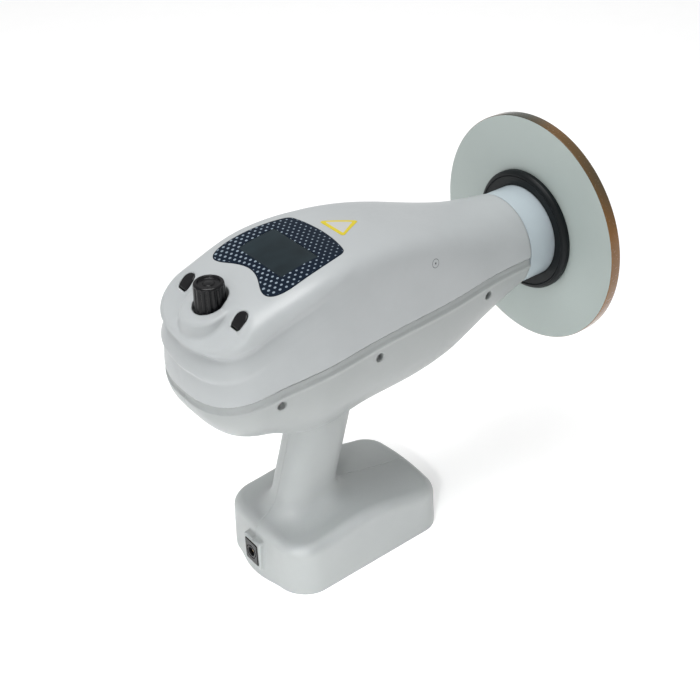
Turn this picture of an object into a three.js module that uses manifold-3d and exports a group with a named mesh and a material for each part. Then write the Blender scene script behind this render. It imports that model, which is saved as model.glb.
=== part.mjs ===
// Handheld intraoral X-ray unit: a teardrop head on a raked grip and a battery base,
// with a selector knob, two push buttons, a display, and a round backscatter shield
// that slides on the open-ended cone tube.
//
// Millimetres. +X is the beam direction, +Y the operator's left, +Z up. The origin is the
// centre of the base's underside.

import * as THREE from 'three';
import { mergeVertices } from 'three/addons/utils/BufferGeometryUtils.js';
import Module from 'manifold-3d';

const wasm = await Module();
wasm.setup();

// ---------------------------------------------------------------- driving dimensions

const GAP = 0.3;                      // between pieces that meet
const WALL = 2.8;                     // moulded shell thickness

const BEAM_Z = 176.7;                 // height of the beam axis
const HEAD_REAR = -105.2;             // rearmost point of the head
const REAR_BREAK = -70;               // behind this the head closes in
const NECK_END = 146;                 // front face of the neck
// x, half width, top height, bottom height
const HEAD_STATIONS = [
  [-70, 47, 222.6, 128.5],
  [-35, 50, 231.8, 112.5],
  [0, 46.5, 234.2, 113],
  [40, 43, 230, 113.5],
  [80, 39, 220, 119],
  [115, 33.6, 211.5, 131],
  [146, 32.4, 209.2, 144.2],
];
const CLOSING = { width: 2.45, above: 3.3, below: 1.96 };    // how squarely the rear closes in
const SEAM = { drop: 11.6, power: 7.9 };    // how the seam falls towards the rear
const GROOVE = { height: 5, depth: 1.3 };

const GRIP = { halfLength: 21.5, halfWidth: 15.5, squareness: 2.6 };
const GRIP_LINE = { x: -14.4, z: 88.3, slope: 0.296 };    // the raked centre line
const GRIP_FOOT = { z: 40, radius: 16 };
const GRIP_NECK = { z: 116, radius: 8 };

const BASE = { halfLength: 65, halfWidth: 44, rearCorner: 21, frontCorner: 16, bow: 4, edge: 6, crown: 2.5 };
const BASE_PLATE = 3;
const INLET = { width: 14, height: 17.5, z: 17.8, face: -69, bossMargin: 2.5 };

const KNOB = { x: -80, bottom: 211.3, top: 230.3, skirt: 10.4, cap: 9.3, flutes: 16, push: 0.8 };
const KNOB_POCKET = { radius: 11.2, floor: 210.2 };
const BUTTON = { x: -76.6, y: 28.6, flatX: -5.1, flatHalf: 4.6, radius: 5.7, proud: 1.2, travel: 1 };
const SCREEN = { rear: -44.2, front: -19.2, halfWidth: 21.9 };
const LABEL = { rear: 7.6, front: 26.8, halfWidth: 12.3 };

const CONTROL_BOARD = { rear: -90, front: -60, halfWidth: 32, bottom: 197, top: 198.6 };
const ENCODER = { half: 7, top: 205.4, bush: 5, bushTop: 206.9, bore: 3.3, boreFloor: 199.6 };
const SHAFT = { radius: 3, top: 225.2 };
const PUSH_PLATE = { radius: 2.4, thickness: 0.5 };
const SWITCH = { half: 3, height: 3.6 };
const REST_PLAY = 0.4;                // left over when a knob or a button is fully pressed
const LCD = { halfLength: 15.5, halfWidth: 25, thickness: 3.4, x: -31.7, z: 221, tiltDegrees: 10.4 };

const CONE = { outer: 32.2, bore: 26.5, spigot: 28.6, spigotStart: 114, front: 186 };
const DISC = { radius: 80, rear: 171.4, thickness: 8 };
const COLLAR = { outer: 42.5, width: 5 };
const RETAINER = { outer: 39, width: 4.5 };
const CONE_WINDOW = { rear: 116, thickness: 1.6 };

const TANK = { rear: 20, front: 92, radius: 28.2, wall: 2.4 };
const CELL = { rear: -30, length: 65, radius: 9.2, z: 13.4, pitch: 20 };

const HOUSING_SCREWS = [[-66, 162], [8, 163], [107, 163.5]];    // x, z
const BASE_SCREWS = [[-46, 28], [-46, -28], [48, 28], [48, -28]];    // x, y

// ---------------------------------------------------------------- geometry helpers

/** A closed geometry as a manifold solid. */
function solid(geometry) {
  const bare = geometry.clone();
  bare.deleteAttribute('normal');
  bare.deleteAttribute('uv');
  const merged = mergeVertices(bare, 1e-4);
  const mesh = new wasm.Mesh({
    numProp: 3,
    vertProperties: new Float32Array(merged.attributes.position.array),
    triVerts: new Uint32Array(merged.index.array),
  });
  return new wasm.Manifold(mesh);
}

/** A manifold solid as a geometry. */
function geometryOf(body) {
  const mesh = body.getMesh();
  const geometry = new THREE.BufferGeometry();
  geometry.setAttribute('position', new THREE.BufferAttribute(new Float32Array(mesh.vertProperties), 3));
  geometry.setIndex(new THREE.BufferAttribute(new Uint32Array(mesh.triVerts), 1));
  geometry.computeVertexNormals();
  return geometry;
}

function join(first, ...others) {
  return others.reduce((body, other) => body.add(other), first);
}

function cut(first, ...others) {
  return others.reduce((body, other) => body.subtract(other), first);
}

/** A box from its lowest to its highest corner. */
function block(low, high) {
  const size = high.map((value, i) => value - low[i]);
  const geometry = new THREE.BoxGeometry(...size);
  geometry.translate(...low.map((value, i) => value + size[i] / 2));
  return solid(geometry);
}

/** A cylinder from point a to point b along one axis. */
function rod(a, b, radius, segments = 24) {
  const start = new THREE.Vector3(...a);
  const axis = new THREE.Vector3(...b).sub(start);
  const geometry = new THREE.CylinderGeometry(radius, radius, axis.length(), segments);
  geometry.applyQuaternion(new THREE.Quaternion().setFromUnitVectors(
    new THREE.Vector3(0, 1, 0), axis.clone().normalize()));
  geometry.translate(...start.addScaledVector(axis, 0.5));
  return solid(geometry);
}

/** A turned body about the X axis through the beam height, from [x, radius] points. */
function turnedX(profile, segments = 40) {
  const geometry = new THREE.LatheGeometry(profile.map(([x, r]) => new THREE.Vector2(r, x)), segments);
  geometry.rotateZ(-Math.PI / 2);
  geometry.rotateX(Math.PI / 2);
  return geometry;
}

/** A closed [x, radius] profile of a ring with a rectangular section. */
function ringProfile(x0, x1, inner, outer) {
  return [[x0, inner], [x0, outer], [x1, outer], [x1, inner], [x0, inner]];
}

/** A vertical prism of a plan outline. */
function prism(shape, z0, z1, curveSegments = 6) {
  const geometry = new THREE.ExtrudeGeometry(shape, { depth: z1 - z0, bevelEnabled: false, curveSegments });
  geometry.translate(0, 0, z0);
  return solid(geometry);
}

/** A closed body through rings of points, with a flat or pointed cap at each end. */
function loft(rings) {
  const count = rings[0].length;
  const centre = (ring) => ring.reduce((sum, p) => sum.add(p), new THREE.Vector3()).divideScalar(count);
  const points = rings.flat();
  const first = points.length;
  points.push(centre(rings[0]), centre(rings[rings.length - 1]));
  const index = [];
  for (let i = 0; i < rings.length - 1; i += 1) {
    for (let j = 0; j < count; j += 1) {
      const a = i * count + j;
      const b = i * count + ((j + 1) % count);
      index.push(a, b, b + count, a, b + count, a + count);
    }
  }
  const last = (rings.length - 1) * count;
  for (let j = 0; j < count; j += 1) {
    const next = (j + 1) % count;
    index.push(first, next, j);
    index.push(first + 1, last + j, last + next);
  }
  const geometry = new THREE.BufferGeometry().setFromPoints(points);
  geometry.setIndex(index);
  return solid(geometry);
}

/** A smooth curve through [x, ...values] rows, as a function of x. */
function curveThrough(rows) {
  const slope = (i, k) => {
    const a = rows[Math.max(i - 1, 0)];
    const b = rows[Math.min(i + 1, rows.length - 1)];
    return (b[k] - a[k]) / (b[0] - a[0]);
  };
  return (x, k) => {
    const last = rows.length - 1;
    if (x <= rows[0][0]) return rows[0][k] + slope(0, k) * (x - rows[0][0]);
    if (x >= rows[last][0]) return rows[last][k];
    const i = rows.findIndex((row) => row[0] > x) - 1;
    const width = rows[i + 1][0] - rows[i][0];
    const t = (x - rows[i][0]) / width;
    const blend = 3 * t ** 2 - 2 * t ** 3;
    const leave = (t ** 3 - 2 * t ** 2 + t) * width * slope(i, k);
    const arrive = (t ** 3 - t ** 2) * width * slope(i + 1, k);
    return (1 - blend) * rows[i][k] + blend * rows[i + 1][k] + leave + arrive;
  };
}

function mix(x, x0, x1, a, b) {
  const t = Math.min(Math.max((x - x0) / (x1 - x0), 0), 1);
  return a + (b - a) * t;
}

// ---------------------------------------------------------------- head surface

const headCurve = curveThrough(HEAD_STATIONS);

/** Height of the line where the cover meets the lower housing. */
function seamZ(x) {
  return BEAM_Z - SEAM.drop * Math.max((NECK_END - x) / 250, 0) ** SEAM.power;
}

/** How far the head has closed in behind its rear break: 1 in front of it, 0 at the rear. */
function closing(x, rear, power) {
  const u = Math.min(Math.max((REAR_BREAK - x) / (REAR_BREAK - rear), 0), 1);
  return (1 - u ** power) ** (1 / power);
}

/** Superellipse exponents of the section above and below the seam. */
function squareness(x) {
  const above = x < 0 ? mix(x, -80, 0, 6.4, 7.3) : mix(x, 0, 80, 7.3, 3.9) + mix(x, 80, NECK_END, 0, -1.9);
  return { above, below: mix(x, 80, NECK_END, 2.5, 2.02) };
}

/** One closed section of the head, moved outwards by offset. */
function headSection(x, offset, segments) {
  const rear = HEAD_REAR - offset;
  const front = Math.max(x, REAR_BREAK);
  const seam = seamZ(x);
  const halfWidth = (headCurve(front, 1) + offset) * closing(x, rear, CLOSING.width);
  const up = (headCurve(x, 2) + offset - seam) * closing(x, rear, CLOSING.above);
  const down = (seam - headCurve(front, 3) + offset) * closing(x, rear, CLOSING.below);
  const power = squareness(x);
  const points = [];
  for (let i = 0; i < segments; i += 1) {
    const angle = (2 * Math.PI * i) / segments;
    const c = Math.cos(angle);
    const s = Math.sin(angle);
    const n = s >= 0 ? power.above : power.below;
    const round = (v) => (Math.abs(v) < 1e-9 ? 0 : Math.sign(v) * Math.abs(v) ** (2 / n));
    points.push(new THREE.Vector3(x, halfWidth * round(c), seam + (s >= 0 ? up : down) * round(s)));
  }
  return points;
}

/** The whole head as one solid, moved outwards by offset and ending at x = end. */
function headBody(offset, end, segments = 28) {
  const rear = HEAD_REAR - offset;
  const rings = [];
  for (const degrees of [86, 72, 57, 40, 20]) {
    const x = REAR_BREAK - (REAR_BREAK - rear) * Math.sin(THREE.MathUtils.degToRad(degrees));
    rings.push(headSection(x, offset, segments));
  }
  const steps = 11;
  for (let i = 0; i <= steps; i += 1) {
    rings.push(headSection(REAR_BREAK + ((end - REAR_BREAK) * i) / steps, offset, segments));
  }
  return loft(rings);
}

/** Everything between two heights that follow the seam, as wide as the head. */
function seamSlab(below, above) {
  const shape = new THREE.Shape();
  const xs = [];
  for (let x = -120; x <= 160; x += 20) xs.push(x);
  shape.moveTo(xs[0], seamZ(xs[0]) + below);
  xs.slice(1).forEach((x) => shape.lineTo(x, seamZ(x) + below));
  xs.reverse().forEach((x) => shape.lineTo(x, seamZ(x) + above));
  const geometry = new THREE.ExtrudeGeometry(shape, { depth: 140, bevelEnabled: false });
  geometry.rotateX(Math.PI / 2);
  geometry.translate(0, 70, 0);
  return solid(geometry);
}

const headOuter = headBody(0, NECK_END);
const headInner = headBody(-WALL, NECK_END + 6);

/** The part of a plan outline's prism that lies between two offsets of the head surface. */
function skin(shape, inner, outer) {
  const column = prism(shape, 190, 245);
  return column.intersect(headBody(outer, NECK_END)).subtract(headBody(inner, NECK_END));
}

// ---------------------------------------------------------------- plan outlines on the head

/** The display panel: slightly bowed front, round lobes behind, and a hollow round the knob. */
function panelShape(grow) {
  const shape = new THREE.Shape();
  shape.moveTo(1.4 + grow, 0);
  shape.quadraticCurveTo(1.2 + grow, 14, -2.2 + grow, 25.5);
  shape.quadraticCurveTo(-3.4 + grow, 28.9 + grow, -8, 29.9 + grow);
  shape.quadraticCurveTo(-24, 33.9 + grow, -44, 34.9 + grow);
  shape.bezierCurveTo(-54, 35.3 + grow, -60.3 - grow, 32, -59.7 - grow, 25.5);
  shape.bezierCurveTo(-59.2 - grow, 18.5, -51.9 - grow, 12, -51.6 - grow, 0);
  shape.bezierCurveTo(-51.9 - grow, -12, -59.2 - grow, -18.5, -59.7 - grow, -25.5);
  shape.bezierCurveTo(-60.3 - grow, -32, -54, -35.3 - grow, -44, -34.9 - grow);
  shape.quadraticCurveTo(-24, -33.9 - grow, -8, -29.9 - grow);
  shape.quadraticCurveTo(-3.4 + grow, -28.9 - grow, -2.2 + grow, -25.5);
  shape.quadraticCurveTo(1.2 + grow, -14, 1.4 + grow, 0);
  return shape;
}

function rectangleShape(x0, x1, halfWidth) {
  const shape = new THREE.Shape();
  shape.moveTo(x0, -halfWidth);
  shape.lineTo(x1, -halfWidth);
  shape.lineTo(x1, halfWidth);
  shape.lineTo(x0, halfWidth);
  return shape;
}

function screenShape(grow) {
  return rectangleShape(SCREEN.rear - grow, SCREEN.front + grow, SCREEN.halfWidth + grow);
}

/** A push button: straight behind and round in front. */
function buttonShape(side, grow) {
  const shape = new THREE.Shape();
  const y = side * BUTTON.y;
  const half = BUTTON.flatHalf + grow;
  shape.moveTo(BUTTON.x + BUTTON.flatX - grow, y - half);
  shape.lineTo(BUTTON.x - 1, y - BUTTON.radius - grow);
  shape.absarc(BUTTON.x, y, BUTTON.radius + grow, -Math.PI / 2, Math.PI / 2, false);
  shape.lineTo(BUTTON.x - 1, y + BUTTON.radius + grow);
  shape.lineTo(BUTTON.x + BUTTON.flatX - grow, y + half);
  return shape;
}

function labelShape() {
  const shape = new THREE.Shape();
  shape.moveTo(LABEL.rear, -LABEL.halfWidth);
  shape.lineTo(LABEL.front, 0);
  shape.lineTo(LABEL.rear, LABEL.halfWidth);
  return shape;
}

// ---------------------------------------------------------------- grip and base solids

/** Quarter-round flare: how far a section grows at a height inside a fillet of that radius. */
function flare(distance, radius) {
  const d = Math.min(Math.max(distance, 0), radius);
  return radius - Math.sqrt(radius ** 2 - (radius - d) ** 2);
}

function gripBody(offset, bottom, top, segments = 20) {
  const heights = [bottom, GRIP_FOOT.z, GRIP_FOOT.z + 3, GRIP_FOOT.z + 8, GRIP_FOOT.z + 16,
    GRIP_NECK.z - 8, GRIP_NECK.z - 3, GRIP_NECK.z, top];
  const rings = heights.map((z) => {
    const centre = GRIP_LINE.x + GRIP_LINE.slope * (z - GRIP_LINE.z);
    const foot = flare(z - GRIP_FOOT.z, GRIP_FOOT.radius) * 0.6;
    const neck = flare(GRIP_NECK.z - z, GRIP_NECK.radius) * 0.7;
    const grow = foot + neck + offset;
    const ring = [];
    for (let i = 0; i < segments; i += 1) {
      const angle = (2 * Math.PI * i) / segments;
      const round = (v) => Math.sign(v) * Math.abs(v) ** (2 / GRIP.squareness);
      ring.push(new THREE.Vector3(
        centre + (GRIP.halfLength + grow) * round(Math.cos(angle)),
        (GRIP.halfWidth + grow) * round(Math.sin(angle)),
        z,
      ));
    }
    return ring;
  });
  return loft(rings);
}

/** Height of the base's top edge along its length. */
function baseEdgeZ(x) {
  return 34 - 0.035 * x + 7.5 * Math.exp(-((x / 36) ** 2));
}

/** Plan outline of the base: round corners and slightly bowed ends. */
function baseOutline(inset) {
  const length = BASE.halfLength - inset;
  const width = BASE.halfWidth - inset;
  const rear = Math.max(BASE.rearCorner - inset, 4);
  const front = Math.max(BASE.frontCorner - inset, 4);
  const corner = (cx, cy, radius, from, to) => {
    const points = [];
    for (let i = 0; i <= 4; i += 1) {
      const angle = THREE.MathUtils.degToRad(from + ((to - from) * i) / 4);
      points.push([cx + radius * Math.cos(angle), cy + radius * Math.sin(angle)]);
    }
    return points;
  };
  const frontWidth = width - 1.5;
  const left = [
    [length, 0],
    ...corner(length - BASE.bow - front + 1.5, frontWidth - front, front, 8, 90),
    [0, width - 0.4],
    ...corner(-length + BASE.bow + rear - 1, width - rear, rear, 90, 172),
    [-length, 0],
  ];
  const right = left.slice(1, -1).map(([x, y]) => [x, -y]).reverse();
  return [...left, ...right];
}

function baseBody(offset, bottom) {
  const edge = BASE.edge;
  const ring = (inset, height) => baseOutline(inset - offset).map(([x, y]) => (
    new THREE.Vector3(x, y, height(x, y))));
  const topZ = (x, y) => baseEdgeZ(x) + offset;
  const crowned = (x, y) => topZ(x, y) + BASE.crown * (1 - (y / BASE.halfWidth) ** 2);
  const rings = [ring(0, () => bottom), ring(0, (x, y) => topZ(x, y) - edge)];
  for (const degrees of [30, 60]) {
    const angle = THREE.MathUtils.degToRad(degrees);
    const inset = edge * (1 - Math.cos(angle));
    rings.push(ring(inset, (x, y) => topZ(x, y) - edge * (1 - Math.sin(angle))));
  }
  rings.push(ring(edge, (x, y) => topZ(x, y) + 0.2));
  rings.push(ring(edge + 12, crowned));
  rings.push(ring(edge + 26, crowned));
  return loft(rings);
}

function inletBoss(grow, x0, x1) {
  const halfWidth = INLET.width / 2 + INLET.bossMargin + grow;
  const halfHeight = INLET.height / 2 + INLET.bossMargin + grow;
  return block([x0, -halfWidth, INLET.z - halfHeight], [x1, halfWidth, INLET.z + halfHeight]);
}

// ---------------------------------------------------------------- screws

/** Half width of the head's lower part at a height. */
function wallY(x, z) {
  const front = Math.max(x, REAR_BREAK);
  const down = seamZ(x) - headCurve(front, 3);
  const power = squareness(x).below;
  return headCurve(front, 1) * (1 - ((seamZ(x) - z) / down) ** power) ** (1 / power);
}

/** Where a housing screw's head sits: y of the floor of its recess. */
function recessY(x, z) {
  return -wallY(x, z) + 6;
}

function housingBoss(x, z, side) {
  const reach = wallY(x, z) - 1.2;
  const low = side < 0 ? -reach : GAP / 2;
  const high = side < 0 ? -GAP / 2 : reach;
  return rod([x, low, z], [x, high, z], 4.2, 12);
}

function housingScrewHoles(x, z) {
  return join(
    rod([x, -70, z], [x, recessY(x, z), z], 3, 14),
    rod([x, -60, z], [x, 14, z], 1.7, 8),
  );
}

function screwBody(shankRadius, shankLength, headRadius, headHeight) {
  const head = rod([0, 0, 0], [0, 0, headHeight], headRadius, 14);
  const shank = rod([0, 0, -shankLength], [0, 0, 0.2], shankRadius, 8);
  const slot = join(
    block([-headRadius * 0.6, -0.35, headHeight - 0.8], [headRadius * 0.6, 0.35, headHeight + 1]),
    block([-0.35, -headRadius * 0.6, headHeight - 0.8], [0.35, headRadius * 0.6, headHeight + 1]),
  );
  return cut(join(head, shank), slot);
}

// ---------------------------------------------------------------- materials

function paint(color, roughness, metalness = 0) {
  return new THREE.MeshStandardMaterial({ color, roughness, metalness });
}

const MATERIALS = {
  shell: paint('#d3d7d6', 0.38),
  shellLower: paint('#c9cdcc', 0.42),
  panel: paint('#161c28', 0.3),
  glass: paint('#2c343a', 0.15),
  blackGloss: paint('#0d0e10', 0.25),
  blackRubber: paint('#15171a', 0.6),
  tube: paint('#dde3ea', 0.3),
  shield: paint('#b9c1bd', 0.35),
  label: paint('#e6cf1c', 0.5),
  steel: paint('#b8bcc0', 0.35, 1),
  brass: paint('#b89a55', 0.35, 1),
  aluminium: paint('#b3b7bb', 0.45, 1),
  lead: paint('#6d7178', 0.6, 1),
  copper: paint('#b06a3c', 0.4, 1),
  board: paint('#1e5b38', 0.5),
  cell: paint('#2f6fb0', 0.4),
  darkPlastic: paint('#2a2c30', 0.55),
};

const unit = new THREE.Group();

/** Adds one named piece. */
function add(name, shape, material, parent = unit) {
  const geometry = shape instanceof THREE.BufferGeometry ? shape : geometryOf(shape);
  const mesh = new THREE.Mesh(geometry, MATERIALS[material]);
  mesh.name = name;
  parent.add(mesh);
  return mesh;
}

// ---------------------------------------------------------------- top cover

function topCover() {
  let cover = headOuter.intersect(seamSlab(GAP / 2, 90)).subtract(headInner);
  const pocket = { z0: KNOB_POCKET.floor - WALL, z1: KNOB_POCKET.floor };
  const cup = rod([KNOB.x, 0, pocket.z0], [KNOB.x, 0, 224], KNOB_POCKET.radius + WALL - 0.6, 32);
  cover = join(cover, cup.intersect(headOuter));
  cover = cut(
    cover,
    rod([KNOB.x, 0, pocket.z1], [KNOB.x, 0, 240], KNOB_POCKET.radius, 32),
    rod([KNOB.x, 0, 200], [KNOB.x, 0, 240], 4.2, 20),
    prism(panelShape(GAP), 200, 245).subtract(headBody(-0.9, NECK_END)),
    prism(rectangleShape(SCREEN.rear + 1.5, SCREEN.front - 1.5, SCREEN.halfWidth - 1.5), 200, 245),
  );
  for (const side of [-1, 1]) {
    cover = cut(cover, prism(buttonShape(side, 0.35), 195, 240));
  }
  return cover;
}

add('top_cover', topCover(), 'shell');
add('display_overlay', cut(skin(panelShape(0), -0.55, 0.3), prism(screenShape(GAP), 190, 245)), 'panel');
add('display_window', skin(screenShape(0), -0.55, 0.2), 'glass');
add('warning_label', skin(labelShape(), 0.3, 0.6), 'label');

// ---------------------------------------------------------------- lower housing, left and right

function lowerHousing() {
  const lowerHead = headOuter.intersect(seamSlab(-90, -GAP / 2));
  const groove = cut(seamSlab(-GROOVE.height, 10), headBody(-GROOVE.depth, NECK_END + 1));
  const underHead = join(headOuter, block([-80, -60, 0], [60, 60, 125]));
  const grip = gripBody(0, 30, 132).intersect(underHead);
  const outer = join(cut(lowerHead, groove), grip, baseBody(0, 0), inletBoss(0, INLET.face, -58));
  return cut(outer, headInner, gripBody(-WALL, 26, 140), baseBody(-WALL, -1));
}

const lower = lowerHousing();
const inletCavity = block(
  [INLET.face - 2, -INLET.width / 2 - GAP, INLET.z - INLET.height / 2 - GAP],
  [-50, INLET.width / 2 + GAP, INLET.z + INLET.height / 2 + GAP],
);

function housingHalf(side) {
  const yLow = side < 0 ? -90 : GAP / 2;
  const yHigh = side < 0 ? -GAP / 2 : 90;
  let housing = lower.intersect(block([-130, yLow, -5], [170, yHigh, 260]));
  for (const [x, z] of HOUSING_SCREWS) housing = join(housing, housingBoss(x, z, side));
  for (const [x, y] of BASE_SCREWS.filter(([, across]) => across * side > 0)) {
    housing = join(housing, rod([x, y, BASE_PLATE + GAP], [x, y, 40], 4, 12).intersect(baseBody(-1, 0)));
    housing = cut(housing, rod([x, y, 0], [x, y, 18], 1.7, 8));
  }
  for (const [x, z] of HOUSING_SCREWS) housing = cut(housing, housingScrewHoles(x, z));
  return cut(housing, inletCavity);
}

add('left_housing', housingHalf(1), 'shellLower');
add('right_housing', housingHalf(-1), 'shellLower');

HOUSING_SCREWS.forEach(([x, z], i) => {
  const floor = recessY(x, z);
  const screw = add(`housing_screw_${i + 1}`, screwBody(1.3, 10 - floor, 2.6, 1.8), 'steel');
  screw.rotation.x = Math.PI / 2;
  screw.position.set(x, floor - GAP, z);
});

// ---------------------------------------------------------------- base cover and its screws

function baseCover() {
  const outline = new THREE.Shape(baseOutline(WALL + GAP).map(([x, y]) => new THREE.Vector2(x, y)));
  let plate = prism(outline, 0, BASE_PLATE);
  for (const [x, y] of BASE_SCREWS) {
    plate = cut(plate, rod([x, y, -1], [x, y, 5], 1.8, 8), rod([x, y, -1], [x, y, 1.8], 3.3, 14));
  }
  return plate;
}

add('base_cover', baseCover(), 'shellLower');
BASE_SCREWS.forEach(([x, y], i) => {
  const screw = add(`base_screw_${i + 1}`, screwBody(1.3, 12, 2.9, 1.2), 'steel');
  screw.rotation.x = Math.PI;
  screw.position.set(x, y, 1.5);
});

// ---------------------------------------------------------------- charging inlet

function inletBody() {
  const body = block(
    [INLET.face - 0.5, -INLET.width / 2, INLET.z - INLET.height / 2],
    [INLET.face + 11, INLET.width / 2, INLET.z + INLET.height / 2],
  );
  return cut(body, rod([INLET.face - 2, 0, INLET.z], [INLET.face + 8.5, 0, INLET.z], 3.2, 20));
}

add('dc_inlet', inletBody(), 'blackGloss');
add('inlet_pin', rod([INLET.face + 1, 0, INLET.z], [INLET.face + 8.2, 0, INLET.z], 1, 14), 'brass');

// ---------------------------------------------------------------- knob and encoder

/** An upright cylinder on the knob's axis. */
function knobAxisRod(z0, z1, radius, segments = 20) {
  return rod([KNOB.x, 0, z0], [KNOB.x, 0, z1], radius, segments);
}

function knobBody() {
  const rim = 1.2;
  const profile = [
    [KNOB.bottom, 0], [KNOB.bottom, KNOB.skirt], [KNOB.bottom + 2.2, KNOB.skirt],
    [KNOB.bottom + 2.8, KNOB.skirt - 0.5], [KNOB.top - 2, KNOB.cap], [KNOB.top - 0.6, KNOB.cap - 0.5],
    [KNOB.top, KNOB.cap - 1.6], [KNOB.top - rim, KNOB.cap - 2.8], [KNOB.top - rim * 0.6, 0],
  ];
  const geometry = new THREE.LatheGeometry(profile.map(([z, r]) => new THREE.Vector2(r, z)), 32);
  geometry.rotateX(Math.PI / 2);
  geometry.translate(KNOB.x, 0, 0);
  let knob = cut(solid(geometry), knobAxisRod(205, SHAFT.top + GAP, SHAFT.radius + GAP, 18));
  for (let i = 0; i < KNOB.flutes; i += 1) {
    const angle = (2 * Math.PI * i) / KNOB.flutes;
    const radius = KNOB.cap + 0.9;
    const x = KNOB.x + radius * Math.cos(angle);
    const y = radius * Math.sin(angle);
    knob = cut(knob, rod([x, y, KNOB.bottom + 3], [x, y, KNOB.top + 1], 0.9, 6));
  }
  return knob;
}

const onBoard = CONTROL_BOARD.top + GAP;
const plateBottom = ENCODER.boreFloor + KNOB.push + REST_PLAY;
const plateTop = plateBottom + PUSH_PLATE.thickness;

function encoderShaft() {
  const flat = block([KNOB.x + 2, -4, 212], [KNOB.x + 4, 4, 230]);
  return cut(knobAxisRod(plateTop + GAP, SHAFT.top, SHAFT.radius, 18), flat);
}

function encoderBody() {
  const { half } = ENCODER;
  const body = join(
    block([KNOB.x - half, -half, onBoard], [KNOB.x + half, half, ENCODER.top]),
    knobAxisRod(ENCODER.top - 1, ENCODER.bushTop, ENCODER.bush),
  );
  return cut(body, knobAxisRod(ENCODER.boreFloor, ENCODER.bushTop + 1, ENCODER.bore));
}

add('selector_knob', knobBody(), 'blackGloss');
add('encoder_shaft', encoderShaft(), 'steel');
add('push_plate', knobAxisRod(plateBottom, plateTop, PUSH_PLATE.radius, 16), 'brass');
add('encoder_body', encoderBody(), 'aluminium');

// ---------------------------------------------------------------- buttons and switches

const switchTop = onBoard + SWITCH.height;
const stemBottom = switchTop + BUTTON.travel + REST_PLAY;
const flangeBottom = stemBottom + 1.5;

for (const [side, name] of [[1, 'left'], [-1, 'right']]) {
  const y = side * BUTTON.y;
  const column = prism(buttonShape(side, 0), flangeBottom + 0.2, 240);
  const cap = column.intersect(headBody(BUTTON.proud, NECK_END));
  const flange = block([BUTTON.x - 6.4, y - 6.9, flangeBottom], [BUTTON.x + 7, y + 6.9, flangeBottom + 1.2]);
  const stem = rod([BUTTON.x, y, stemBottom], [BUTTON.x, y, flangeBottom + 0.6], 2, 14);
  add(`${name}_button`, join(cap, flange, stem), 'blackGloss');
  add(`${name}_switch`, block(
    [BUTTON.x - SWITCH.half, y - SWITCH.half, onBoard],
    [BUTTON.x + SWITCH.half, y + SWITCH.half, switchTop],
  ), 'darkPlastic');
}

// ---------------------------------------------------------------- boards, display and buzzer

add('control_board', block(
  [CONTROL_BOARD.rear, -CONTROL_BOARD.halfWidth, CONTROL_BOARD.bottom],
  [CONTROL_BOARD.front, CONTROL_BOARD.halfWidth, CONTROL_BOARD.top],
), 'board');
add('buzzer', rod([-66.5, 14, onBoard], [-66.5, 14, onBoard + 4.6], 5, 20), 'darkPlastic');
const lcd = add('lcd_module', block(
  [-LCD.halfLength, -LCD.halfWidth, -LCD.thickness / 2],
  [LCD.halfLength, LCD.halfWidth, LCD.thickness / 2],
), 'darkPlastic');
lcd.position.set(LCD.x, 0, LCD.z);
lcd.rotation.y = -THREE.MathUtils.degToRad(LCD.tiltDegrees);
add('driver_board', block([-56, -32, 183], [0, 32, 184.6]), 'board');
add('charge_board', block([-57, -17, 4.2], [-38, 17, 5.8]), 'board');

// ---------------------------------------------------------------- X-ray generator

const beamAssembly = new THREE.Group();
beamAssembly.position.z = BEAM_Z;
unit.add(beamAssembly);

add('tube_tank', turnedX([
  [TANK.rear, 0], [TANK.rear, TANK.radius], [TANK.front, TANK.radius], [TANK.front, TANK.radius - TANK.wall],
  [TANK.rear + TANK.wall, TANK.radius - TANK.wall], [TANK.rear + TANK.wall, 0],
], 32), 'aluminium', beamAssembly);
add('tank_cap', turnedX(ringProfile(TANK.front + GAP, TANK.front + 3.3, 8, TANK.radius), 32), 'aluminium',
  beamAssembly);
add('xray_tube', turnedX([
  [33, 0], [33, 5], [36, 8], [48, 8], [52, 13], [74, 13], [80, 8], [84, 7], [84, 0],
], 24), 'glass', beamAssembly);
add('anode_stem', turnedX([[24, 0], [24, 6], [32.6, 6], [32.6, 0]], 16), 'copper', beamAssembly);
add('beam_filter', turnedX([[95.6, 0], [95.6, 11], [97.1, 11], [97.1, 0]], 24), 'aluminium', beamAssembly);
add('collimator', turnedX(ringProfile(97.4, 101.4, 8.5, 19), 24), 'lead', beamAssembly);

function tankBracket() {
  const saddle = block([30, -26, 143], [82, 26, 162]);
  const bed = rod([20, 0, BEAM_Z], [100, 0, BEAM_Z], TANK.radius + GAP, 32);
  return cut(saddle, bed, block([36, -18, 135], [76, 18, 146]));
}

add('tank_bracket', tankBracket(), 'aluminium');
add('transformer_core', cut(
  block([-50, -17, 140], [-8, 17, 178]),
  block([-42, -20, 148], [-33.5, 20, 170]),
  block([-24.5, -20, 148], [-16, 20, 170]),
), 'lead');
add('transformer_coil', cut(
  block([-41.7, -24, 148.3], [-16.3, 24, 169.7]),
  block([-33.8, -17.3, 140], [-24.2, 17.3, 180]),
), 'copper');

// ---------------------------------------------------------------- battery

for (const row of [-1, 0, 1]) {
  const y = row * CELL.pitch;
  const front = CELL.rear + CELL.length;
  const cell = rod([CELL.rear, y, CELL.z], [front, y, CELL.z], CELL.radius, 20);
  const tip = rod([front - 1, y, CELL.z], [front + 1, y, CELL.z], 2.8, 12);
  add(`battery_cell_${row + 2}`, join(cell, tip), 'cell');
}

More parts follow.
